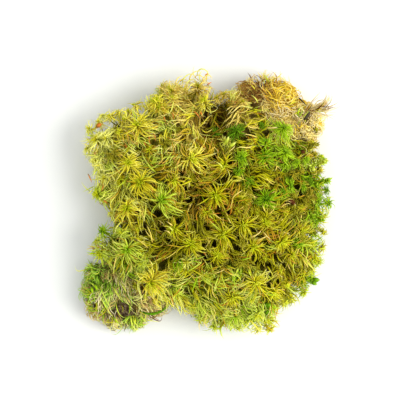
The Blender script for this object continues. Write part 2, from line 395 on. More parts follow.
# Single strands that stand out: lane, half width in mm, places along it in the photograph
LONG_STRANDS = (
    ("pale", 0.42, (128, 115), (134, 118), (139, 123)),
    ("pale", 0.40, (146, 111), (148, 114), (149, 117)),
    ("pale", 0.40, (151, 130), (154, 133), (156, 136)),
    ("pale", 0.42, (198, 112), (188, 113), (181, 110), (175, 103), (168, 101)),
    ("lime", 0.62, (157, 173), (152, 169), (148, 164), (144, 157)),
    ("pale", 0.42, (120, 164), (122, 166), (125, 165)),
    ("pale", 0.42, (113, 199), (109, 196), (108, 191)),
    ("pale", 0.46, (128, 200), (126, 196), (121, 193)),
    ("rust", 0.40, (126, 192), (127, 188), (129, 184)),
    ("pale", 0.60, (122, 243), (113, 241), (110, 237), (107, 232)),
    ("pale", 0.40, (119, 252), (112, 247), (106, 242)),
    ("pale", 0.38, (111, 249), (105, 248), (102, 244)),
    ("pale", 0.38, (124, 242), (122, 238), (121, 232)),
    ("pale", 0.38, (139, 246), (145, 244), (149, 248), (154, 247)),
    ("pale", 0.38, (153, 266), (150, 261), (146, 257)),
    ("pale", 0.42, (173, 232), (169, 227), (165, 226)),
    ("straw", 0.42, (173, 226), (169, 223), (166, 221)),
    ("straw", 0.42, (171, 235), (167, 231), (163, 231)),
    ("pale", 0.36, (224, 142), (217, 137), (209, 134), (204, 136), (197, 131)),
    ("pale", 0.36, (213, 178), (217, 183), (224, 185), (228, 181), (229, 174), (225, 168)),
    ("gold", 0.48, (218, 176), (213, 171), (210, 163), (202, 158)),
    ("pale", 0.48, (223, 168), (218, 163), (211, 160)),
    ("gold", 0.46, (221, 161), (218, 155), (218, 148)),
    ("gold", 0.46, (228, 163), (225, 157), (222, 150)),
    ("gold", 0.46, (214, 157), (208, 153), (200, 150)),
    ("gold", 0.46, (247, 213), (244, 205), (238, 197), (231, 189), (222, 190)),
    ("pale", 0.42, (239, 194), (238, 190), (235, 187)),
    ("yellow", 0.46, (243, 197), (244, 189), (241, 182)),
    ("lime", 0.52, (221, 228), (213, 219), (204, 211), (194, 202)),
    ("lime", 0.52, (222, 231), (214, 225), (206, 217), (198, 209)),
    ("yellow", 0.50, (219, 222), (211, 212), (203, 203)),
    ("pale", 0.42, (208, 267), (205, 261), (200, 255)),
    ("pale", 0.42, (209, 260), (206, 255), (203, 250)),
    ("pale", 0.38, (196, 270), (188, 267), (182, 262)),
    ("pale", 0.38, (209, 294), (205, 288), (201, 283)),
    ("pale", 0.40, (209, 309), (205, 304), (201, 300)),
    ("pale", 0.40, (201, 307), (196, 301), (194, 292)),
    ("straw", 0.56, (262, 126), (255, 128), (248, 126), (245, 119)),
    ("straw", 0.50, (262, 127), (270, 128), (278, 127)),
    ("pale", 0.40, (205, 107), (207, 111), (212, 112), (218, 106)),
    ("pale", 0.40, (252, 108), (245, 102), (240, 94)),
    ("pale", 0.42, (258, 103), (255, 98), (249, 94)),
    ("lime", 0.44, (92, 262), (92, 270), (96, 276), (99, 271), (98, 261)),
    ("lime", 0.40, (112, 286), (117, 294), (121, 301)),
    ("lime", 0.40, (121, 282), (124, 288), (127, 293)),
    ("lime", 0.36, (96, 287), (102, 300), (109, 312), (118, 321)),
    ("lime", 0.34, (99, 285), (105, 298), (112, 311)),
    ("lime", 0.50, (126, 316), (128, 326), (134, 330)),
    ("lime", 0.50, (131, 316), (133, 326), (138, 332)),
    ("lime", 0.46, (133, 318), (137, 325), (142, 327)),
    ("lime", 0.40, (140, 316), (144, 320), (147, 323)),
    ("green", 0.40, (104, 314), (103, 319), (104, 325)),
    ("green", 0.40, (113, 316), (117, 322), (122, 326)),
    ("bark", 0.40, (148, 314), (154, 319), (160, 321), (161, 314)),
    ("bark", 0.34, (150, 313), (155, 317), (158, 312)),
    ("pale", 0.40, (89, 268), (84, 270), (78, 271), (75, 265)),
    ("lime", 0.52, (222, 324), (221, 333), (224, 339)),
    ("lime", 0.52, (213, 321), (216, 330), (217, 336)),
    ("lime", 0.40, (230, 331), (232, 327), (229, 321)),
    ("straw", 0.40, (204, 321), (206, 325), (209, 329)),
    ("straw", 0.34, (200, 320), (199, 325), (200, 331)),
    ("bark", 0.34, (252, 82), (250, 76), (247, 72)),
    ("gold", 0.42, (270, 320), (276, 322), (280, 327)),
    ("gold", 0.42, (266, 324), (270, 329), (276, 331)),
    ("pale", 0.42, (308, 279), (316, 276), (322, 273)),
    ("ember", 0.46, (129, 138), (128, 134), (130, 130)),
    ("ember", 0.46, (128, 151), (126, 146), (124, 142)),
    ("ember", 0.46, (129, 149), (132, 145), (134, 142)),
    ("ember", 0.42, (135, 138), (137, 142), (138, 146)),
    ("ember", 0.46, (143, 139), (145, 144), (148, 147)),
    ("ember", 0.46, (150, 135), (149, 140), (151, 145)),
    ("ember", 0.50, (152, 133), (155, 137), (155, 142)),
    ("ember", 0.60, (151, 129), (155, 128), (160, 129)),
    ("ember", 0.42, (171, 111), (173, 115), (173, 120)),
    ("ember", 0.42, (163, 115), (165, 120), (166, 125)),
    ("ember", 0.70, (168, 160), (172, 158), (176, 156)),
    ("ember", 0.50, (206, 141), (207, 146), (208, 151)),
    ("ember", 0.50, (209, 144), (210, 148), (212, 152)),
    ("ember", 0.42, (217, 148), (218, 151), (218, 155)),
    ("ember", 0.46, (193, 111), (197, 114), (200, 119)),
    ("ember", 0.60, (200, 110), (201, 113), (203, 118)),
    ("ember", 0.50, (222, 202), (222, 207), (224, 213)),
    ("ember", 0.50, (229, 200), (231, 206), (234, 212)),
    ("ember", 0.50, (232, 202), (235, 207), (238, 212)),
    ("ember", 0.60, (226, 213), (228, 217), (229, 222)),
    ("ember", 0.70, (230, 189), (232, 193), (234, 198)),
    ("ember", 0.40, (196, 206), (199, 209), (202, 213)),
    ("ember", 0.40, (204, 206), (207, 209), (209, 213)),
    ("ember", 0.40, (211, 203), (212, 208), (213, 213)),
    ("gold", 0.52, (149, 184), (153, 190), (158, 197)),
    ("ember", 0.42, (93, 149), (94, 152), (95, 156)),
    ("ember", 0.42, (88, 174), (90, 178), (92, 183)),
    ("ember", 0.42, (104, 183), (103, 187), (101, 191)),
    ("ember", 0.42, (103, 200), (107, 203), (110, 206)),
    ("ember", 0.50, (203, 251), (205, 254), (208, 258)),
    ("ember", 0.46, (161, 106), (165, 110), (166, 116)),
    ("bark", 0.62, (277, 155), (280, 160), (283, 167)),
    ("olive", 0.22, (318, 111), (323, 104), (326, 97), (325, 90)),
    ("bark", 0.40, (321, 112), (325, 110), (330, 110)),
    ("bark", 0.34, (317, 109), (321, 106), (324, 103)),
    ("bark", 0.30, (322, 108), (327, 106), (330, 107)),
    ("straw", 0.42, (190, 82), (192, 74), (198, 71), (202, 75)),
    ("pale", 0.40, (197, 75), (203, 69), (208, 73), (207, 79)),
    ("straw", 0.40, (203, 78), (209, 75), (212, 81)),
    ("pale", 0.38, (183, 84), (186, 76), (192, 74), (194, 79)),
    ("straw", 0.40, (199, 86), (205, 82), (211, 84)),
    ("pale", 0.40, (188, 91), (191, 85), (197, 83)),
    ("straw", 0.40, (176, 86), (178, 78), (184, 76)),
    ("straw", 0.38, (201, 90), (207, 88), (211, 91)),
    ("pale", 0.40, (186, 88), (188, 82), (193, 79), (197, 83)),
    ("straw", 0.38, (195, 78), (199, 75), (203, 78), (201, 82)),
    ("pale", 0.38, (207, 94), (210, 89), (208, 84)),
    ("straw", 0.40, (180, 82), (184, 79), (188, 81)),
    ("ember", 0.40, (205, 76), (207, 74), (209, 74)),
    ("ember", 0.44, (207, 85), (210, 83), (212, 82)),
    ("straw", 0.44, (213, 100), (222, 94), (233, 92), (243, 95)),
    ("pale", 0.44, (216, 97), (226, 92), (238, 91), (248, 96)),
    ("straw", 0.44, (219, 101), (229, 96), (239, 96), (246, 101)),
    ("pale", 0.42, (224, 99), (233, 95), (243, 97), (250, 103)),
    ("yellow", 0.44, (222, 97), (231, 94), (241, 98)),
    ("pale", 0.40, (196, 298), (208, 305), (220, 311), (230, 315)),
    ("lime", 0.42, (192, 306), (206, 312), (220, 316), (231, 318)),
    ("lime", 0.44, (200, 310), (212, 314), (224, 317)),
    ("pale", 0.38, (205, 300), (214, 306), (224, 311)),
    ("lime", 0.42, (198, 302), (210, 309), (222, 314), (231, 317)),
    ("pale", 0.38, (188, 285), (190, 293), (196, 300)),
    ("lime", 0.40, (204, 316), (214, 319), (226, 320)),
    ("lime", 0.34, (116, 303), (117, 309), (120, 315), (126, 318)),
    ("green", 0.34, (129, 303), (130, 309), (128, 315)),
    ("olive", 0.30, (121, 305), (123, 309), (122, 313)),
    ("olive", 0.22, (322, 110), (329, 104), (332, 98), (331, 92)),
)

# Broad leaves and scraps: lane, half width in mm, foot, middle and tip in the photograph
LEAVES = (
    ("ember", 1.20, (96, 128), (99, 125), (103, 123)),
    ("deep", 1.80, (268, 302), (266, 307), (263, 312)),
    ("deep", 2.00, (266, 307), (270, 309), (275, 313)),
    ("deep", 1.70, (265, 309), (269, 305), (272, 303)),
    ("deep", 1.50, (264, 310), (268, 313), (272, 315)),
    ("deep", 1.50, (312, 280), (316, 280), (320, 280)),
    ("deep", 1.30, (311, 281), (314, 283), (317, 285)),
    ("green", 0.80, (91, 286), (92, 290), (93, 294)),
    ("green", 0.70, (94, 284), (96, 287), (97, 291)),
    ("olive", 1.30, (316, 133), (316, 130), (317, 126)),
    ("olive", 1.20, (314, 130), (317, 130), (319, 131)),
    ("bark", 1.20, (301, 150), (303, 152), (304, 155)),
    ("bark", 1.50, (287, 200), (291, 201), (296, 200)),
    ("bark", 1.10, (290, 202), (293, 203), (297, 202)),
    ("lime", 1.00, (222, 147), (226, 142), (229, 136)),
    ("lime", 1.00, (228, 147), (232, 145), (236, 142)),
)


def photo_place(px, py, z=FOCUS_HEIGHT):
    """Return the place in metres of a point that the camera sees at a pixel, at height z.

    Places spread from the camera's upright axis as the distance below the camera grows.
    """
    spread = (CAMERA_HEIGHT - z) / (CAMERA_HEIGHT - FOCUS_HEIGHT)
    return (
        (CAMERA_PIXEL[0] - CLUMP_PIXEL[0] + (px - CAMERA_PIXEL[0]) * spread) * PIXEL,
        (CLUMP_PIXEL[1] - CAMERA_PIXEL[1] + (CAMERA_PIXEL[1] - py) * spread) * PIXEL,
    )


def photo_pixels(places):
    """Return the pixels at which the camera sees some places, the other way round."""
    spread = (CAMERA_HEIGHT - places[..., 2]) / (CAMERA_HEIGHT - FOCUS_HEIGHT)
    level = np.array([CAMERA_PIXEL[0] - CLUMP_PIXEL[0], CLUMP_PIXEL[1] - CAMERA_PIXEL[1]])
    off = (places[..., :2] / PIXEL - level) / spread[..., None]
    return np.stack([CAMERA_PIXEL[0] + off[..., 0], CAMERA_PIXEL[1] - off[..., 1]], axis=-1)


def unit(vectors):
    """Divide each vector by its length."""
    length = np.linalg.norm(vectors, axis=-1, keepdims=True)
    return vectors / np.maximum(length, 1e-9)


def across(axis):
    """Return two unit vectors square to each axis and to each other.

    The first is the axis crossed with X, or with Y where the axis lies near X.
    """
    helper = np.where(np.abs(axis[..., :1]) > 0.8, [[0.0, 1.0, 0.0]], [[1.0, 0.0, 0.0]])
    first = unit(np.cross(axis, helper))
    return first, np.cross(axis, first)


def tubes(middle, side, radius, lane, shade, profile, sides=ROUND_SIDES, flat=0.70):
    """Return the rings of many thin tubes at once, with their place on the map.

    Each tube follows its middle line, an array of points from foot to tip. A ring is an
    ellipse square to the line, as wide as the radius times the profile along the side
    vector, and flat times that the other way. The last point of the line is the tip. On
    the map a tube runs across from 0 to 1, at the height of its shade in its lane.
    """
    count, rings = middle.shape[0], middle.shape[1] - 1
    heading = unit(np.gradient(middle, axis=1))
    wide = unit(side[:, None] - (side[:, None] * heading).sum(2, keepdims=True) * heading)
    thick = np.cross(heading, wide)
    around = 2 * math.pi * np.arange(sides) / sides + RIDGE_TURN
    reach = radius[:, None, None, None] * profile[None, :-1, None, None]
    ring = middle[:, :-1, None] + reach * (
        np.cos(around)[:, None] * wide[:, :-1, None]
        + flat * np.sin(around)[:, None] * thick[:, :-1, None]
    )
    places = np.concatenate([ring.reshape(count, -1, 3), middle[:, -1:]], axis=1)
    lanes = (np.asarray(lane, float) + 0.5 * (1 - LANE_FILL))[:, None, None]
    up = lanes + LANE_FILL * np.clip(shade, 0, 1)[:, None, None]
    up = np.broadcast_to(up + MAP_WIDTH * np.sin(around), (count, rings, sides))
    t = np.linspace(0.0, 1.0, rings + 1)[:-1]
    along = t[:, None] + MAP_FOOT * (t[:, None] == 0) * (1 + np.cos(around))
    tip = np.stack([np.ones(count), up[:, 0, 0]], axis=1)[:, None]
    spots = np.stack([np.broadcast_to(along, up.shape), up], axis=3)
    spots = np.concatenate([spots.reshape(count, -1, 2), tip], axis=1)
    return {"places": places, "spots": spots, "rings": rings, "sides": sides}


def branch_form(t):
    """Return a branch's thickness at t, which runs from 0 at its foot to 1 at its tip.

    It grows evenly from 0.55 to full over the first fifth. That is multiplied by 1 less t
    to the power 1.7, all to the power 0.75, which tapers it to a point.
    """
    return np.minimum(1.0, 0.55 + 2.2 * t) * (1 - t ** 1.7) ** 0.75


def leaf_form(t):
    """Return a leaf's width at t: a narrow foot, broadest in its middle, pointed.

    It is a sine from a tenth of a half turn to the whole of it, to the power 0.8.
    """
    return np.sin(math.pi * (0.10 + 0.90 * t)) ** 0.8


def branches(start, toward, pull, length, bend, curl, radius, lane, shade,
             rings=7, sides=ROUND_SIDES, flat=0.70, form=branch_form):
    """Return many curved branches at once.

    A branch starts toward one direction and turns to its pull by the angle bend times t to
    the power 1.3, where t runs from 0 to 1 along it, with a hook that grows with the cube
    of t, while curl sways it sideways as a sine. Its middle line is the running sum of
    those directions and stays above the cut base.
    """
    count = len(start)
    t = np.linspace(0.0, 1.0, rings + 1)
    square = unit(pull - (pull * toward).sum(1, keepdims=True) * toward)
    side = np.cross(toward, square)
    hook = draw.normal(0.25, 0.6, (count, 1))
    angle = bend[:, None] * t ** 1.3 + hook * t ** 3
    sway = curl[:, None] * np.sin(2 * math.pi * (0.8 * t + draw.random((count, 1))))
    heading = unit(
        np.cos(angle)[..., None] * toward[:, None]
        + np.sin(angle)[..., None] * square[:, None]
        + sway[..., None] * side[:, None]
    )
    steps = (heading[:, 1:] + heading[:, :-1]) / 2 * (length / rings)[:, None, None]
    middle = start[:, None] + np.concatenate(
        [np.zeros((count, 1, 3)), np.cumsum(steps, axis=1)], axis=1
    )
    middle[..., 2] = np.maximum(middle[..., 2], radius[:, None])
    return tubes(middle, side, radius, lane, shade, form(t), sides, flat)


def inside(pixels, outline):
    """Tell which pixels lie inside an outline, by how often a ray to the right meets it."""
    px, py = pixels[..., 0], pixels[..., 1]
    within = np.zeros(px.shape, bool)
    for (x0, y0), (x1, y1) in zip(outline, outline[1:] + outline[:1]):
        between = (y0 > py) != (y1 > py)
        meets = x0 + (py - y0) * (x1 - x0) / (y1 - y0 if y1 != y0 else 1.0)
        within ^= between & (px < meets)
    return within


def trimmed(group):
    """Leave out branches that would cover a dark gap and shorten those past the edge.

    A branch whose tip lies outside the edge is drawn toward its foot, to seven tenths and
    then to four tenths, and left out if its tip is still outside. The tip is first drawn
    a few pixels in or out at random, so that the edge stays ragged.
    """
    places = group["places"]
    foot = places[:, :group["sides"]].mean(axis=1, keepdims=True)
    scale = np.zeros(len(places))
    slack = 1 + draw.normal(*EDGE_SLACK, (len(places), 1))
    for share in (0.4, 0.7, 1.0):
        tip = photo_pixels(foot[:, 0] + (places[:, -1] - foot[:, 0]) * share)
        within = inside((tip - CAMERA_PIXEL) * slack + CAMERA_PIXEL, EDGE)
        scale = np.where(within, share, scale)
    places = foot + (places - foot) * scale[:, None, None]
    rings = places[:, :-1].reshape(-1, group["rings"], group["sides"], 3)
    line = photo_pixels(rings.mean(axis=2))
    keep = scale > 0
    for px, py, radius in GAPS:
        apart = np.hypot(line[..., 0] - px, line[..., 1] - py).min(axis=1)
        keep &= apart > radius * GAP_SHARE
    return dict(group, places=places[keep], spots=group["spots"][keep])


def ring_squares(rings, sides):
    """Return the corner numbers of the squares that join each ring to the next."""
    ring = np.arange(rings - 1)[:, None] * sides
    here = np.arange(sides)[None]
    after = (here + 1) % sides
    return np.stack(
        [ring + here, ring + after, ring + sides + after, ring + sides + here], axis=2
    ).reshape(-1, 4)


def fan(ring, point, sides):
    """Return the corner numbers of the triangles that join the ring from one corner on."""
    here = np.arange(sides)
    return np.stack([ring + here, ring + (here + 1) % sides, np.full(sides, point)], axis=1)


def branch_faces(rings, sides):
    """Return one branch's faces as corner numbers and the corners of each face.

    Squares join each ring to the next, triangles close the tip and one face the foot.
    """
    tip = fan((rings - 1) * sides, rings * sides, sides)
    foot = np.arange(sides)[::-1]
    corners = np.concatenate([ring_squares(rings, sides).ravel(), tip.ravel(), foot])
    sizes = np.array([4] * ((rings - 1) * sides) + [3] * sides + [sides])
    return corners, sizes


def put_in_place(name, mesh, material, stands_for=()):
    """Make a mesh a smooth piece that rides on the clump, in place of any solids it names."""
    mesh.polygons.foreach_set("use_smooth", np.ones(len(mesh.polygons), bool))
    mesh.materials.append(material)
    piece = bpy.data.objects.new(name, mesh)
    bpy.context.scene.collection.objects.link(piece)
    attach(piece, "root")
    if stands_for:
        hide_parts(*stands_for)
    return piece


def piece_of(name, groups, moss, stands_for=()):
    """Make one mesh of many branches, with its map, from a moss's lanes and material."""
    lanes, material = moss
    places, spots, corners, sizes = [], [], [], []
    first = 0
    for group in groups:
        count, per_branch = group["places"].shape[:2]
        template, face_sizes = branch_faces(group["rings"], group["sides"])
        offsets = first + np.arange(count)[:, None] * per_branch
        corners.append((offsets + template[None]).reshape(-1))
        sizes.append(np.tile(face_sizes, count))
        places.append(group["places"].reshape(-1, 3))
        spots.append(group["spots"].reshape(-1, 2))
        first += count * per_branch
    places, spots = np.concatenate(places), np.concatenate(spots)
    corners, sizes = np.concatenate(corners), np.concatenate(sizes)
    spots[:, 1] /= len(lanes)
    mesh = bpy.data.meshes.new(name)
    mesh.vertices.add(len(places))
    mesh.vertices.foreach_set("co", places.astype(np.float32).ravel())
    mesh.loops.add(len(corners))
    mesh.loops.foreach_set("vertex_index", corners.astype(np.int32))
    mesh.polygons.add(len(sizes))
    starts = np.concatenate([[0], np.cumsum(sizes)[:-1]])
    mesh.polygons.foreach_set("loop_start", starts.astype(np.int32))
    layer = mesh.uv_layers.new(name=BAKE_MAP)
    layer.uv.foreach_set("vector", spots[corners].astype(np.float32).ravel())
    mesh.update(calc_edges=True)
    return put_in_place(name, mesh, material, stands_for)


def add_node(tree, kind, settings=None, links=None):
    """Add a shader node, set its settings and sockets, and link outputs into it."""
    node = tree.nodes.new(kind)
    for key, value in (settings or {}).items():
        if isinstance(key, str) and hasattr(node, key):
            setattr(node, key, value)
        else:
            node.inputs[key].default_value = value
    for key, output in (links or {}).items():
        tree.links.new(output, node.inputs[key])
    return node


def lane_ramp(tree, height, lanes, part):
    """Add a colour ramp that goes up the map, with each lane's dark and light shade."""
    ramp = add_node(tree, "ShaderNodeValToRGB", links={"Fac": height})
    stops = ramp.color_ramp.elements
    spare = 0.5 * (1 - LANE_FILL)
    for number, shades in enumerate(lanes.values()):
        for place, code in zip((spare, 1 - spare), shades[part]):
            at = (number + place) / len(lanes)
            stop = stops[0] if number == 0 and place == spare else stops.new(at)
            stop.position = at
            stop.color = linear(code)
    stops.remove(stops[-1])
    return ramp.outputs["Color"]


def branch_material(name, lanes, roughness, leaves):
    """Make the material of leafy branches, read off their own map alone.

    Along the map it goes from the base's colour over the body's to the tip's, and each
    overlapping leaf is a little paler toward its own tip.
    """
    material = bpy.data.materials.new(name)
    material.use_nodes = True
    tree = material.node_tree
    shader = tree.nodes["Principled BSDF"]
    spot = add_node(tree, "ShaderNodeUVMap", {"uv_map": BAKE_MAP})
    split = add_node(tree, "ShaderNodeSeparateXYZ", links={0: spot.outputs["UV"]})
    along, height = split.outputs["X"], split.outputs["Y"]
    colour = lane_ramp(tree, height, lanes, 0)
    for part, low, high in ((1, 0.0, GROWN_BY), (2, RIPE_FROM, 1.0)):
        share = add_node(
            tree, "ShaderNodeMapRange",
            {"interpolation_type": "SMOOTHSTEP", "From Min": low, "From Max": high},
            {"Value": along},
        )
        mix = add_node(
            tree, "ShaderNodeMix", {"data_type": "RGBA"},
            {0: share.outputs[0], 6: colour, 7: lane_ramp(tree, height, lanes, part)},
        )
        colour = mix.outputs[2]
    turns = add_node(
        tree, "ShaderNodeMath", {"operation": "MULTIPLY", 1: float(leaves)}, {0: along}
    )
    leaf = add_node(tree, "ShaderNodeMath", {"operation": "FRACT"}, {0: turns.outputs[0]})
    paler = add_node(
        tree, "ShaderNodeMapRange", {"To Min": LEAF_SHADES[0], "To Max": LEAF_SHADES[1]},
        {"Value": leaf.outputs[0]},
    )
    tinted = add_node(
        tree, "ShaderNodeVectorMath", {"operation": "SCALE"},
        {0: colour, "Scale": paler.outputs[0]},
    )
    tree.links.new(tinted.outputs[0], shader.inputs["Base Color"])
    shader.inputs["Roughness"].default_value = roughness
    shader.inputs["Specular IOR Level"].default_value = 0.03
    return material


def lane_numbers(lanes, names):
    """Return each named lane's number."""
    order = list(lanes)
    return np.array([order.index(name) for name in names])


def solid_corners(node):
    """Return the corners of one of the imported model's solids."""
    return np.array([v.co for v in frame["nodes"][node].data.vertices])


def solid_triangles(node):
    """Return the corner numbers of a solid's triangles."""
    mesh = frame["nodes"][node].data
    mesh.calc_loop_triangles()
    return np.array([t.vertices for t in mesh.loop_triangles])


def tree_of(nodes):
    """Return a search tree of some solids, for rays and for the nearest place on them."""
    corners, faces = [], []
    for node in nodes:
        faces.extend((len(corners) + solid_triangles(node)).tolist())
        corners.extend(solid_corners(node).tolist())
    return BVHTree.FromPolygons(corners, faces)


def below(tree, x, y):
    """Return the place and normal where a ray straight down meets a tree, or two Nones."""
    return tree.ray_cast(Vector((x, y, RAY_HEIGHT)), Vector((0, 0, -1)))[:2]


def head_of(node):
    """Return the middle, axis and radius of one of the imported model's heads.

    The axis runs from the middle of the stem's foot, the lowest ring of the solid along
    it, to the crown, the corner that is far from the foot but near the head's own middle.
    The radius is the reach of the tips from it, and the middle lies half of that below
    the crown.
    """
    corners = np.unique(np.round(solid_corners(node), 7), axis=0)
    lowest = corners[np.argmin(corners[:, 2])]
    near = np.linalg.norm(corners - lowest, axis=1) < STEM_FOOT * MM
    foot, rest = corners[near].mean(axis=0), corners[~near]
    from_foot = np.linalg.norm(rest - foot, axis=1)
    from_middle = np.linalg.norm(rest - rest.mean(axis=0), axis=1)
    crown = rest[np.argmax(from_foot - 0.6 * from_middle)]
    axis = unit((crown - foot)[None])[0]
    along = (rest - foot) @ axis
    radius = np.linalg.norm(rest - foot - along[:, None] * axis, axis=1).max()
    return crown - axis * 0.5 * radius, axis, radius


# A head from its heart to its skirt: count, angle from the axis, scatter, length and start
# height as shares of its radius, bend, half width in mm, part of the kind, rings
HEAD_TIERS = (
    (9, 10, 8, 0.32, 0.42, 0.3, 0.54, 0, 4),
    (15, 34, 10, 0.56, 0.34, 0.9, 0.54, 0, 5),
    (21, 56, 12, 0.95, 0.26, 1.5, 0.52, 1, 6),
    (26, 74, 12, 1.28, 0.15, 1.8, 0.53, 1, 6),
    (25, 92, 13, 1.50, 0.00, 1.6, 0.51, 1, 6),
    (16, 110, 14, 1.50, -0.14, 1.0, 0.48, 2, 6),
)


def head_branches(middle, axis, radius, kind, fullness=1.0):
    """Return the branches of one head: its heart, three tiers of rays and a skirt.

    Each tier leaves the head at its own angle from the axis, nearly evenly round it, and
    bends down and sideways. The sideways pull follows a sine of the turn round the axis,
    so that neighbours curl together. The head is swept the way that the moss is combed
    there: its branches bend that way, and are longer on that side. A wide head has more
    and thicker branches.
    """
    heart, rays, skirt, rusty = KINDS[kind]
    first, second = across(axis[None])
    lean = draw.normal(0.0, 0.18, 3)
    sweep = flow(middle[None])[0]
    comb = 0.35 * sweep + draw.normal(0.0, 0.35, 3)
    whorl = draw.uniform(0, 2 * math.pi)
    made = []
    thickness = min(1.15, 0.60 + radius / (22 * MM)) * growth(middle[None])[0][0]
    for count, angle, scatter, length, height, bend, half, part, rings in HEAD_TIERS:
        count = max(4, round(count * fullness * (0.72 + radius / (28 * MM))))
        rings = rings - 1 if fullness < 1 and rings > 4 else rings
        turn = (np.arange(count) + draw.normal(0, 0.45, count)) * 2 * math.pi / count
        tilt = np.radians(angle + draw.normal(0, scatter, count))
        out = np.cos(turn)[:, None] * first + np.sin(turn)[:, None] * second
        toward = unit(np.cos(tilt)[:, None] * axis + np.sin(tilt)[:, None] * out + lean)
        start = middle + axis * height * radius + out * 0.07 * math.sin(tilt.mean()) * radius
        lengths = length * radius * draw.uniform(0.62, 1.14, count) * (1 + 0.22 * out @ sweep)
        lane = (heart, rays, skirt)[part]
        names = np.where(draw.random(count) < rusty * (part == 1), "gold", lane)
        shade = draw.beta(2.2, 1.6, count) * 0.9 + 0.05 + lightness(middle[None])
        curl = np.sin(2 * turn + whorl) + draw.normal(0, 0.45, count)
        sideways = np.cross(axis, out) * curl[:, None]
        pull = unit(0.35 * out + comb + 1.3 * sideways - axis * 0.55)
        made.append(trimmed(branches(
            start, toward, pull, lengths,
            bend=bend * draw.uniform(0.5, 1.3, count), curl=draw.normal(0, 0.25, count),
            radius=half * thickness * MM * draw.uniform(0.8, 1.2, count),
            lane=lane_numbers(LIVING, names), shade=shade, rings=rings, sides=THIN_SIDES,
        )))
    return made


def stem_branches(middle, axis, radius, kind):
    """Return the branches that a tall shoot bears on its stem, from its head down.

    They leave the stem nearly level, at even heights and turned by the golden angle, and
    bend down over the moss round it.
    """
    count = 14 + round(STEM_DEPTH / 0.4)
    first, second = across(axis[None])
    turn = GOLDEN_ANGLE * np.arange(count)
    out = np.cos(turn)[:, None] * first + np.sin(turn)[:, None] * second
    down = (np.linspace(0.15, 1.0, count) * STEM_DEPTH * MM)[:, None]
    names = draw.choice([KINDS[kind][1], KINDS[kind][2], "olive"], count)
    return trimmed(branches(
        middle - axis * down, unit(out + axis * draw.normal(0.05, 0.25, (count, 1))),
        unit(0.8 * out - axis), radius * draw.uniform(0.9, 1.4, count),
        bend=draw.uniform(0.6, 1.8, count), curl=draw.normal(0, 0.3, count),
        radius=draw.uniform(0.42, 0.58, count) * MM, lane=lane_numbers(LIVING, names),
        shade=draw.uniform(0.1, 0.8, count), rings=6, sides=THIN_SIDES,
    ))


def surface_samples(node, count):
    """Return points spread evenly over a solid, away from its base, and their normals.

    The triangles' areas are added up in a row, marks at nearly even steps along it pick
    the triangles, and the point's weights in each are those of a random corner folded
    back into it.
    """
    corners = solid_corners(node)[solid_triangles(node)]
    cross = np.cross(corners[:, 1] - corners[:, 0], corners[:, 2] - corners[:, 0])
    area = np.linalg.norm(cross, axis=1)
    normal = unit(cross)
    bare = (corners[:, :, 2].max(axis=1) <= BASE_MARGIN * MM) | (normal[:, 2] <= UNDERSIDE)
    share = np.cumsum(area * ~bare)
    marks = (np.arange(count) + draw.random(count)) / count * share[-1]
    drawn = np.minimum(np.searchsorted(share, marks), len(share) - 1)
    a, b = draw.random((2, count))
    fold = a + b > 1
    a[fold], b[fold] = 1 - a[fold], 1 - b[fold]
    weights = np.stack([1 - a - b, a, b], axis=1)[:, :, None]
    return (corners[drawn] * weights).sum(axis=1), normal[drawn]


def nearness(points, regions, softness=5.0):
    """Return the share of each region at each place, the inverse fourth power of distance.

    The softness, in pixels, keeps a region from ruling alone close to its own place.
    """
    seeds = np.array([row[:2] for row in regions], float)
    apart = ((photo_pixels(points)[:, None] - seeds[None]) ** 2).sum(2) + softness ** 2
    chance = apart ** -2.0
    return chance / chance.sum(1, keepdims=True)


def region_kinds(points, regions):
    """Return the kind of moss that grows at each place, drawn by the regions' shares."""
    chance = np.cumsum(nearness(points, regions), axis=1)
    pick = (draw.random((len(points), 1)) > chance).sum(1)
    names = np.array([kind for _, _, kind in regions])
    return names[np.minimum(pick, len(names) - 1)]


def lanes_of_kinds(kinds, choices=KIND_LANES):
    """Draw one lane for each kind, from that kind's four."""
    table = np.array([choices[kind] for kind in kinds])
    return table[np.arange(len(kinds)), draw.integers(0, 4, len(kinds))]


def level_way(ways):
    """Return level unit vectors from their parts to the right and to the back."""
    return np.concatenate([unit(ways), np.zeros((len(ways), 1))], axis=1)


def flow(points):
    """Return the way the moss is combed at each point, the mean of the ways set round it."""
    turn = np.radians(np.array(COMBING, float)[:, 2])
    ways = np.stack([np.cos(turn), np.sin(turn)], axis=1)
    return level_way(nearness(points, COMBING, softness=6.0) @ ways)


def growth(points):
    """Return the thickness and length of branches at each point, as shares of full ones."""
    return (nearness(points, GROWTH) @ np.array(GROWTH)[:, 2:]).T


def lightness(points):
    """Return how far each place's moss leans to its lane's light side, or dark if below 0."""
    return nearness(points, LIGHTNESS) @ np.array(LIGHTNESS)[:, 2]


def away_from_heads(points):
    """Return the level way from the nearest head to each point, and how near that head is.

    Near is measured in that head's own radius.
    """
    apart = points[:, None, :2] - head_spots[None, :, :2]
    share = np.linalg.norm(apart, axis=2) / head_spots[None, :, 2]
    nearest = share.argmin(axis=1)
    return level_way(apart[np.arange(len(points)), nearest]), share.min(axis=1)


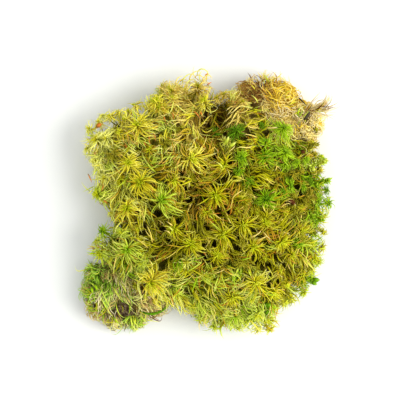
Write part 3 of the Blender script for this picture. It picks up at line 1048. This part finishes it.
def locks(points, normal, lane_names, lanes, *, per_lock, length, half, lift, sink,
          bend=(0.5, 1.5), scatter=0.12, spread=1.4, rings=6, down=0.35,
          shade=(0.1, 0.9), curl=0.40, odd_lanes=("rust",), odd_share=0.0):
    """Return locks of branches that leave each point side by side, combed alike.

    A lock heads away from the nearest head and along the flow, over the surface, lifted
    toward its normal, and its branches curl sideways and bend back down together. Length,
    half width, sink under the surface and spread about the point are in millimetres.
    """
    count = len(points)
    thickness, reach = growth(points)
    along = away_from_heads(points)[0] * 0.45 + flow(points)
    along = unit(along - (along * normal).sum(1, keepdims=True) * normal)
    along = unit(along + np.array([0, 0, -down]) * (1.2 - normal[:, 2:3]))
    along = unit(along + draw.normal(0, 0.22, (count, 3)))
    beside = np.cross(along, normal)
    rise = draw.uniform(*lift, count)[:, None]
    each = np.repeat(np.arange(count), per_lock)
    total = len(each)
    toward = unit(along[each] + normal[each] * rise[each] + draw.normal(0, scatter, (total, 3)))
    pull = unit(
        -0.6 * normal + np.array([0, 0, -0.4]) + beside * draw.normal(0, 1.1, (count, 1))
    )
    pull = unit(pull[each] + draw.normal(0, 0.12, (total, 3)))
    start = points[each] - normal[each] * (draw.uniform(*sink, total) * MM)[:, None]
    start = start + beside[each] * draw.normal(0, spread * MM, (total, 1))
    start = start + along[each] * draw.normal(0, spread * MM, (total, 1))
    names = np.asarray(lane_names)[each]
    odd = draw.choice(odd_lanes, total)
    names = np.where(draw.random(total) < odd_share, odd, names)
    turn = draw.uniform(*bend, count)[each] * draw.uniform(0.85, 1.15, total)
    sway = draw.normal(0, curl, count)[each] + draw.normal(0, 0.3 * curl, total)
    tone = draw.uniform(*shade, count)[each] + draw.normal(0, 0.15, total)
    tone = tone + lightness(points)[each]
    return trimmed(branches(
        start, toward, pull, draw.uniform(*length, total) * MM * reach[each], turn, sway,
        draw.uniform(*half, total) * MM * thickness[each], lane_numbers(lanes, names), tone,
        rings, THIN_SIDES,
    ))


def canopy(px, py):
    """Return the height of the solids' top where the camera sees a pixel, or None."""
    hit = below(clump_tree, *photo_place(px, py))[0]
    return None if hit is None else hit.z


def laid_strand(lane, half, *route, lanes=LIVING, form=branch_form, flat=0.8, lift=3.8,
                tone=None, steps=11):
    """Return one strand laid over the clump along a route of the photograph's pixels.

    A cubic through the route's places gives its middle line. It starts in the moss, rises
    as half a sine to its lift above the solids' top, and hangs level past the edge. The
    half width and the lift are in millimetres.
    """
    knots = np.array(route, float)
    reach = np.concatenate([[0], np.cumsum(np.hypot(*np.diff(knots, axis=0).T))])
    order = min(3, len(route) - 1)
    t = np.linspace(0.0, 1.0, steps)
    line = np.stack([
        np.polyval(np.polyfit(reach / reach[-1], knots[:, axis], order), t)
        for axis in (0, 1)
    ], axis=1)
    heights = [canopy(px, py) for px, py in line]
    last = next((height for height in heights if height is not None), LOOSE_HEIGHT * MM)
    tops = []
    for height in heights:
        last = last if height is None else height
        tops.append(last)
    tops = np.convolve(np.pad(tops, 2, mode="edge"), np.ones(5) / 5, mode="valid")
    z = tops + (lift * np.sin(math.pi * (0.12 + 0.76 * t)) - LAID_SINK) * MM
    x, y = photo_place(line[:, 0], line[:, 1], z)
    middle = np.stack([x, y, z], axis=1)[None]
    side = unit(np.cross(middle[:, -1] - middle[:, 0], [[0.0, 0.0, 1.0]]))
    shade = draw.uniform(0.55, 1.0, 1) if tone is None else np.array([tone])
    return tubes(
        middle, side, np.array([half * MM]), lane_numbers(lanes, [lane]), shade, form(t),
        flat=flat,
    )


def rim_wisps(own, others, lanes, lane_of, *, count, length, half):
    """Return thin curling wisps round the clump's edge, where their own sort is nearest.

    Their tips lie at even steps along the edge, a few pixels in or out of it, and their
    feet lie further in, off to one side. The length is in pixels and the half width in
    millimetres.
    """
    edge = np.array(EDGE + EDGE[:1], float)
    reach = np.concatenate([[0], np.cumsum(np.hypot(*np.diff(edge, axis=0).T))])

    def edge_at(mark):
        """Return the pixel at a distance along the edge, evenly between its points."""
        return np.array([np.interp(mark, reach, edge[:, axis]) for axis in (0, 1)])

    made = []
    for mark in (np.arange(count) + draw.random(count)) / count * reach[-1]:
        spot = edge_at(mark)
        ahead = edge_at(mark + 1.5) - edge_at(mark - 1.5)
        ahead = ahead / max(np.hypot(*ahead), 1e-6)
        inward = np.array([ahead[1], -ahead[0]])
        inward = inward if inward @ (np.array(CAMERA_PIXEL) - spot) > 0 else -inward
        tip = spot - inward * draw.uniform(-2.0, 3.0)
        depth = draw.uniform(*length)
        foot = spot + inward * depth + ahead * draw.normal(0, 0.6) * depth
        bow = (foot + tip) / 2 + ahead * draw.normal(0, 0.22) * depth
        if not inside(foot, EDGE) or canopy(*foot) is None:
            continue
        place = np.array([[*photo_place(*foot), FOCUS_HEIGHT]])
        nearest = int(nearness(place, own + others).argmax())
        if nearest >= len(own):
            continue
        lane = lane_of[own[nearest][2]][draw.integers(0, 4)]
        made.append(laid_strand(
            lane, draw.uniform(*half), foot, bow, tip, lanes=lanes,
            lift=draw.uniform(0.5, 2.5), tone=draw.uniform(0.2, 1.0), steps=8,
        ))
    return made


def stem_of(node):
    """Return the foot, tip and axis of a sprig's solid, the tip being its outermost."""
    corners = solid_corners(node)
    tip = corners[np.hypot(corners[:, 0], corners[:, 1]).argmax()]
    far = np.linalg.norm(corners - tip, axis=1)
    foot = corners[far > far.max() - 2.0 * MM].mean(axis=0)
    return foot, tip, unit((tip - foot)[None])


def stalk(foot, axis, length, half, lane, shade, **form):
    """Return one bare stalk, hardly bent, with its half width in millimetres."""
    return branches(
        foot[None], axis, np.array([[0.0, 0.0, 1.0]]), np.array([length]), np.zeros(1),
        np.zeros(1), np.array([half * MM]), lane_numbers(LIVING, [lane]),
        np.array([shade]), **form,
    )


def sprig_branches(node, lane):
    """Return a leafy sprig: a bare stem along the solid's middle, and leaves up it.

    The leaves stand in a spiral, each turned by the golden angle from the one before, and
    they spread less and grow shorter toward the tip, where they make a rosette.
    """
    foot, tip, axis = stem_of(node)
    first, second = across(axis)
    length = np.linalg.norm(tip - foot)
    count = SPRIG_LEAVES
    t = 1 - 0.90 * np.linspace(1.0, 0.0, count) ** 1.4
    turn = GOLDEN_ANGLE * np.arange(count)
    out = np.cos(turn)[:, None] * first + np.sin(turn)[:, None] * second
    lean = (0.1 + 1.3 * np.linspace(0, 1, count) ** 3)[:, None]
    leaves = branches(
        foot + axis * (t * length * 0.90)[:, None],
        unit(out + axis * lean + draw.normal(0, 0.2, (count, 3))), axis - 0.4 * out,
        SPRIG_LEAF * MM * (1.05 - 0.35 * t) * draw.uniform(0.75, 1.2, count),
        bend=draw.uniform(-0.4, 0.9, count), curl=draw.normal(0, 0.15, count),
        radius=draw.uniform(0.42, 0.66, count) * MM,
        lane=lane_numbers(LIVING, [lane] * count), shade=draw.uniform(0.0, 1.0, count),
        rings=5, flat=0.35, form=leaf_form,
    )
    stem = stalk(foot, axis, length * 0.9, half=0.60, lane=lane, shade=0.0, flat=1.0)
    return [leaves, stem]


def dry_fan(node, count):
    """Return a fan of dry strands that spread from the solid's foot round its axis."""
    foot, tip, axis = stem_of(node)
    length = np.linalg.norm(tip - foot)
    toward = unit(axis + draw.normal(0, 0.24, (count, 3)))
    names = draw.choice(["brown", "straw", "dark", "ochre"], count, p=[0.14, 0.62, 0.10, 0.14])
    return [branches(
        foot + axis * (draw.uniform(0.05, 0.55, count) * length)[:, None], toward,
        draw.normal(0, 1, (count, 3)), draw.uniform(0.50, 0.85, count) * length,
        bend=draw.uniform(0.1, 1.1, count), curl=draw.normal(0, 0.4, count),
        radius=draw.uniform(0.22, 0.40, count) * MM, lane=lane_numbers(WITHERED, names),
        shade=draw.random(count), rings=8, sides=THIN_SIDES,
    )]


def soil_crumbs(count):
    """Return crumbs of soil, spread evenly over a round spot and dropped on the moss.

    A crumb's distance from the middle is the root of an even draw, so that no part of the
    spot holds more of them. In the photograph the spot is 1.3 times as wide as it is high.
    """
    turn = draw.uniform(0, 2 * math.pi, count)
    reach = SOIL_RADIUS * np.sqrt(draw.random(count))
    x, y = photo_place(
        SOIL_PIXEL[0] + 1.3 * reach * np.cos(turn), SOIL_PIXEL[1] + reach * np.sin(turn)
    )
    spots = np.array([below(clump_tree, *spot)[0] for spot in zip(x, y)])
    return [branches(
        spots - np.array([0, 0, CRUMB_SINK * MM]),
        unit(draw.normal(0, 1, (count, 3)) + [0, 0, 0.6]), draw.normal(0, 1, (count, 3)),
        draw.uniform(1.4, 3.2, count) * MM,
        bend=draw.uniform(0, 1, count), curl=draw.normal(0, 0.2, count),
        radius=draw.uniform(0.5, 1.0, count) * MM, lane=lane_numbers(FINE, ["soil"] * count),
        shade=draw.random(count), rings=5, form=leaf_form,
    )]


def body_rings():
    """Return the rings of the peat body: up its side, and then in over its top.

    For each of many headings and heights a ray is sent in level toward the clump's axis,
    or down onto its top, and the place it meets is moved in along the ray. The first two
    rings over the top ease from the side's height to that.
    """
    tree = tree_of(BODY_NODES)
    turns = 2 * math.pi * np.arange(BODY_SPOKES) / BODY_SPOKES
    ways = [Vector((math.cos(turn), math.sin(turn), 0)) for turn in turns]
    rows = []
    for ring in range(SIDE_RINGS):
        z = (BODY_FOOT + BODY_RISE * ring / (SIDE_RINGS - 1)) * MM
        hits = [tree.ray_cast(way * 0.2 + Vector((0, 0, z)), -way)[0] for way in ways]
        rows.append([hit - way * BODY_INSET * MM for hit, way in zip(hits, ways)])
    rim = rows[-1]
    for ring in range(1, TOP_RINGS):
        share = 1 - ring / TOP_RINGS
        ease = min(1.0, ring / 3)
        row = []
        for spot in rim:
            x, y = spot.x * share, spot.y * share
            top = (below(tree, x, y)[0] or spot).z - BODY_INSET * 1.3 * MM
            z = top * ease + spot.z * (1 - ease)
            row.append(Vector((x, y, max(z, spot.z * 0.6))))
        rows.append(row)
    return np.array(rows)


def peat_body(material):
    """Make the old peat between the shoots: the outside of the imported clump, drawn in.

    Squares join its rings, and fans close its top and its foot. Its colour is that of the
    ground under each kind of moss, darker toward the base, and darker in the gaps by a
    bell curve of the distance from each one's middle.
    """
    grid = body_rings()
    grid[0, :, 2] = 0.0
    rings = len(grid)
    places = np.concatenate([grid.reshape(-1, 3), [grid[-1].mean(axis=0), np.zeros(3)]])
    squares = ring_squares(rings, BODY_SPOKES)
    top = fan((rings - 1) * BODY_SPOKES, rings * BODY_SPOKES, BODY_SPOKES)
    foot = fan(0, rings * BODY_SPOKES + 1, BODY_SPOKES)[:, [1, 0, 2]]
    mesh = bpy.data.meshes.new("peat_body")
    mesh.from_pydata(places.tolist(), [], squares.tolist() + top.tolist() + foot.tolist())
    everywhere = REGIONS + WITHERED_REGIONS + FINE_REGIONS
    ground = np.array([linear(GROUND[kind]) for _, _, kind in everywhere])
    colours = nearness(places, everywhere) @ ground
    colours[:, :3] *= np.clip(places[:, 2:] / (FULL_LIGHT * MM), BASE_LIGHT, 1.0)
    gaps = np.array(GAPS, float)
    apart = np.linalg.norm(photo_pixels(places)[:, None] - gaps[None, :, :2], axis=2)
    darkness = GAP_DARKNESS * np.exp(-(apart / gaps[:, 2]) ** 2).max(axis=1)
    colours[:, :3] *= 1 - darkness[:, None]
    layer = mesh.color_attributes.new("ground", "FLOAT_COLOR", "POINT")
    layer.data.foreach_set("color", colours.astype(np.float32).ravel())
    return put_in_place("peat_body", mesh, material, ("mat",))


def peat_material():
    """Make the peat's material: its ground's own colour, mottled by rough old fibres.

    Noise on object coordinates, about 1.5 mm from one lump to the next, darkens it.
    """
    material = bpy.data.materials.new("old_peat")
    material.use_nodes = True
    tree = material.node_tree
    shader = tree.nodes["Principled BSDF"]
    place = add_node(tree, "ShaderNodeTexCoord")
    fibre = add_node(
        tree, "ShaderNodeTexNoise",
        {"Scale": FIBRE_LUMPS / MM, "Detail": 6.0, "Roughness": 0.7},
        {"Vector": place.outputs["Object"]},
    )
    mottle = add_node(
        tree, "ShaderNodeMapRange",
        {"From Min": 0.35, "From Max": 0.70, "To Min": 0.60, "To Max": 1.12},
        {"Value": fibre.outputs[0]},
    )
    ground = add_node(tree, "ShaderNodeAttribute", {"attribute_name": "ground"})
    tinted = add_node(
        tree, "ShaderNodeVectorMath", {"operation": "SCALE"},
        {0: ground.outputs["Color"], "Scale": mottle.outputs[0]},
    )
    tree.links.new(tinted.outputs[0], shader.inputs["Base Color"])
    shader.inputs["Roughness"].default_value = 0.95
    shader.inputs["Specular IOR Level"].default_value = 0.1
    return material


def hollow_samples(solid):
    """Return points and normals on the parts of a body that lie outside all the solids.

    A face counts if the nearest place on the solids is well behind it. Each of its points
    is a random mean of its corners.
    """
    points, normals = [], []
    for face in solid.data.polygons:
        near, near_normal, _, apart = clump_tree.find_nearest(face.center)
        if apart > HOLLOW_GAP * MM and (face.center - near).dot(near_normal) > 0:
            corners = np.array([solid.data.vertices[i].co for i in face.vertices])
            count = max(1, round(face.area / (HOLLOW_PATCH * MM * MM)))
            points.append(draw.dirichlet(np.ones(len(corners)), count) @ corners)
            normals.append(np.repeat([face.normal], count, axis=0))
    return np.concatenate(points), np.concatenate(normals)


# Living peat moss: moist leaves with a faint soft sheen
living = LIVING, branch_material("living_peat_moss", LIVING, roughness=0.5, leaves=9)

# Withered peat moss: dry and papery, with hardly any sheen
withered = WITHERED, branch_material("withered_peat_moss", WITHERED, roughness=0.7, leaves=8)

# Fine feather moss: small close leaves that scatter the light and look dull
fine = FINE, branch_material("fine_feather_moss", FINE, roughness=0.6, leaves=10)

# Old peat: crumbly stems and ground, quite dull, seen in the gaps
body = peat_body(peat_material())

# The mat's own solid and all of them, for rays and for the nearest place
mat_tree = tree_of(["mat"])
clump_tree = tree_of(frame["nodes"])

# Large heads, in two pieces
head_spots = []
for name, numbers in (
    ("heads_of_first_shoots", range(1, FIRST_SHOOTS + 1)),
    ("heads_of_later_shoots", range(FIRST_SHOOTS + 1, len(HEAD_KINDS) + 1)),
):
    groups = []
    nodes = [f"moss_head_{number:02d}" for number in numbers]
    for number, node in zip(numbers, nodes):
        kind = HEAD_KINDS[number - 1]
        middle, axis, radius = head_of(node)
        reach = min(radius, WIDEST_REACH * MM) * SLIM_HEADS.get(number, 1.0)
        groups.extend(head_branches(middle, axis, reach, kind))
        if number in TALL_SHOOTS:
            groups.append(stem_branches(middle, axis, reach, kind))
        head_spots.append((*middle[:2], radius))
    piece_of(name, groups, living, nodes)
head_spots = np.array(head_spots)

# Open ground on the mat, away from the large heads
mat_points, mat_normals = surface_samples("mat", count=2200)
open_ground = (away_from_heads(mat_points)[1] > HEAD_COVER) | (mat_normals[:, 2] < STEEP)
mat_points, mat_normals = mat_points[open_ground], mat_normals[open_ground]
mat_kinds = region_kinds(mat_points, REGIONS)

# Small heads, which stand upright in the middle and lean out toward the rim
small = []
for px, py, width, kind in SMALL_HEADS:
    x, y = photo_place(px, py)
    hit, normal = below(mat_tree, x, y)
    if hit is None or normal.z < STEEP:
        hit, normal, _, _ = mat_tree.find_nearest(Vector((x, y, RIM_HEIGHT * MM)))
    x, y = photo_place(px, py, hit.z)
    lean = RIM_LEAN * min(1.0, math.hypot(x, y) / (RIM_RADIUS * MM)) ** 2
    axis = unit(np.array([[x * lean, y * lean, RIM_RADIUS * MM]]))[0]
    middle = np.array([x, y, hit.z + SMALL_HEAD_RISE * MM])
    small.extend(head_branches(middle, axis, width * PIXEL / 2, kind, fullness=0.7))
    foot = np.array(hit) - np.array(normal) * SMALL_HEAD_ROOT * MM
    small.append(stalk(
        foot, unit((middle - foot)[None]), np.linalg.norm(middle - foot) * 1.1,
        half=0.45, lane="olive", shade=0.5, rings=5, sides=THIN_SIDES,
    ))
piece_of("small_heads", small, living)

# Branches over the mat and down its side
mat_lanes = lanes_of_kinds(mat_kinds)
top, left = mat_normals[:, 2] > BESIDE, mat_points[:, 0] < 0
for name, part in (("mat_branches_left", top & left), ("mat_branches_right", top & ~left)):
    groups = [locks(
        mat_points[part], mat_normals[part], mat_lanes[part], LIVING, per_lock=6,
        length=(10.0, 16.0), half=(0.50, 0.74), lift=(0.3, 1.2), sink=(-1.0, 1.8),
        bend=(0.8, 2.4), odd_lanes=("rust", "straw"), odd_share=0.12,
    )]
    piece_of(name, groups, living)
groups = [locks(
    mat_points[~top], mat_normals[~top], mat_lanes[~top], LIVING, per_lock=3,
    length=(8.0, 13.0), half=(0.50, 0.74), lift=(0.1, 0.8), sink=(0.5, 3.0),
    down=1.6, rings=5,
)]
piece_of("mat_branches_beside", groups, living)

# Undergrowth that shows between the shoots
points, normals = surface_samples("mat", count=650)
groups = [locks(
    points, normals, lanes_of_kinds(region_kinds(points, REGIONS)), LIVING, per_lock=5,
    length=(9.0, 15.0), half=(0.46, 0.66), lift=(-0.1, 0.3), sink=(1.0, 2.4),
    bend=(0.1, 0.8), spread=1.8, rings=5, shade=(0.0, 0.45),
)]
piece_of("undergrowth", groups, living)

# Withered tuft
points, normals = surface_samples("withered_tuft", count=680)
lanes = lanes_of_kinds(region_kinds(points, WITHERED_REGIONS), WITHERED_LANES)
groups = [locks(
    points, normals, lanes, WITHERED, per_lock=5,
    length=(7.0, 13.0), half=(0.32, 0.48), lift=(-0.1, 0.4), sink=(-1.2, 1.6),
    bend=(0.8, 3.2), scatter=0.3, spread=1.7, curl=0.75, shade=(0.3, 1.0),
)]
piece_of("withered_strands", groups, withered, ("withered_tuft",))

# Fine moss
points, normals = surface_samples("fine_moss", count=700)
lanes = lanes_of_kinds(region_kinds(points, FINE_REGIONS), FINE_LANES)
groups = [locks(
    points, normals, lanes, FINE, per_lock=5,
    length=(6.0, 11.0), half=(0.28, 0.42), lift=(-0.1, 0.4), sink=(-0.8, 1.6),
    bend=(0.6, 2.4), scatter=0.25, spread=1.6, curl=0.5, shade=(0.5, 1.15),
)]
piece_of("fine_moss_strands", groups, fine, ("fine_moss",))

# Wisps along the rim
groups = rim_wisps(
    REGIONS, (), LIVING, KIND_LANES, count=430, length=(6.0, 15.0), half=(0.28, 0.46)
)
piece_of("rim_wisps", groups, living)
groups = rim_wisps(
    WITHERED_REGIONS, REGIONS, WITHERED, WITHERED_LANES,
    count=420, length=(5.0, 14.0), half=(0.24, 0.38),
)
piece_of("withered_wisps", groups, withered)
groups = rim_wisps(
    FINE_REGIONS, REGIONS, FINE, FINE_LANES,
    count=300, length=(5.0, 14.0), half=(0.24, 0.38),
)
piece_of("fine_moss_wisps", groups, fine)

# Single strands and leaves
groups = [laid_strand(*row) for row in LONG_STRANDS]
piece_of("long_strands", groups, living)
groups = [
    laid_strand(*row, form=leaf_form, flat=0.22, lift=6.2, tone=0.5) for row in LEAVES
]
piece_of("broad_leaves", groups, living)

# Leafy sprigs and the dry one
for number, lane in enumerate(SPRIG_LANES, start=1):
    node = f"sprig_{number}"
    piece_of(f"leafy_{node}", sprig_branches(node, lane), living, (node,))
piece_of(
    "dry_sprig_tips", dry_fan("dry_sprig", DRY_STRANDS), withered, ("dry_sprig",)
)

# Crumbs of soil in the fine moss
piece_of("soil_crumbs", soil_crumbs(CRUMBS), fine)

# Dark dead leaves
groups = [
    laid_strand(
        "dark", 0.95, *route, lanes=WITHERED, form=leaf_form, flat=0.3, lift=5.2, tone=0.0
    )
    for route in DEAD_LEAF_ROUTES
]
piece_of("dark_scraps", groups, withered)

# Grass blade and needle
groups = [
    laid_strand("deep", 0.85, *GRASS_ROUTE, form=leaf_form, flat=0.25, lift=7.2, tone=0.1)
]
piece_of("grass_leaf", groups, living, ("grass_blade",))
groups = [laid_strand("dark", 0.45, *NEEDLE_ROUTE, lanes=WITHERED, lift=5.4, tone=0.0)]
piece_of("dark_needle", groups, withered, ("needle",))

# Branches in the hollows between the solids, where only the body would show
points, normals = hollow_samples(body)
groups = [locks(
    points, normals, lanes_of_kinds(region_kinds(points, REGIONS)), LIVING, per_lock=4,
    length=(7.0, 12.0), half=(0.46, 0.66), lift=(0.1, 0.8), sink=(0.2, 2.0),
    down=1.0, rings=5,
)]
piece_of("hollow_branches", groups, living)

# Floor of matte white board: pale and even, with no shine
bpy.ops.mesh.primitive_plane_add(size=4.0, location=(0, 0, 0))
floor = bpy.context.object
floor.name = "floor"
board = bpy.data.materials.new("matte_white_board")
board.use_nodes = True
board_shader = board.node_tree.nodes["Principled BSDF"]
board_shader.inputs["Base Color"].default_value = linear("#e8e9e6")
board_shader.inputs["Roughness"].default_value = 0.9
floor.data.materials.append(board)

# Window light from the right, and even light from all round
lamp_data = bpy.data.lights.new("window", "AREA")
lamp_data.size = 2.0
lamp_data.energy = 74.0
lamp_data.color = (1.0, 0.985, 0.95)
lamp = bpy.data.objects.new("window", lamp_data)
bpy.context.scene.collection.objects.link(lamp)
lamp.location = (2.05, -0.25, 1.8)
lamp.rotation_mode = "QUATERNION"
lamp.rotation_quaternion = Vector(lamp.location).to_track_quat("Z", "Y")

world = bpy.data.worlds.new("studio")
bpy.context.scene.world = world
world.use_nodes = True
sky = world.node_tree.nodes["Background"]
sky.inputs["Color"].default_value = (0.97, 0.985, 1.0, 1.0)
sky.inputs["Strength"].default_value = 1.02

# Camera straight above, with the photograph's frame
camera_data = bpy.data.cameras.new("camera")
camera = bpy.data.objects.new("camera", camera_data)
bpy.context.scene.collection.objects.link(camera)
bpy.context.scene.camera = camera
camera.location = (*photo_place(*CAMERA_PIXEL), CAMERA_HEIGHT)
camera_data.sensor_width = SENSOR_WIDTH
camera_data.lens = SENSOR_WIDTH * (CAMERA_HEIGHT - FOCUS_HEIGHT) / (FRAME_PIXELS * PIXEL)
camera_data.clip_end = 10.0

bpy.context.scene.view_settings.view_transform = "Standard"
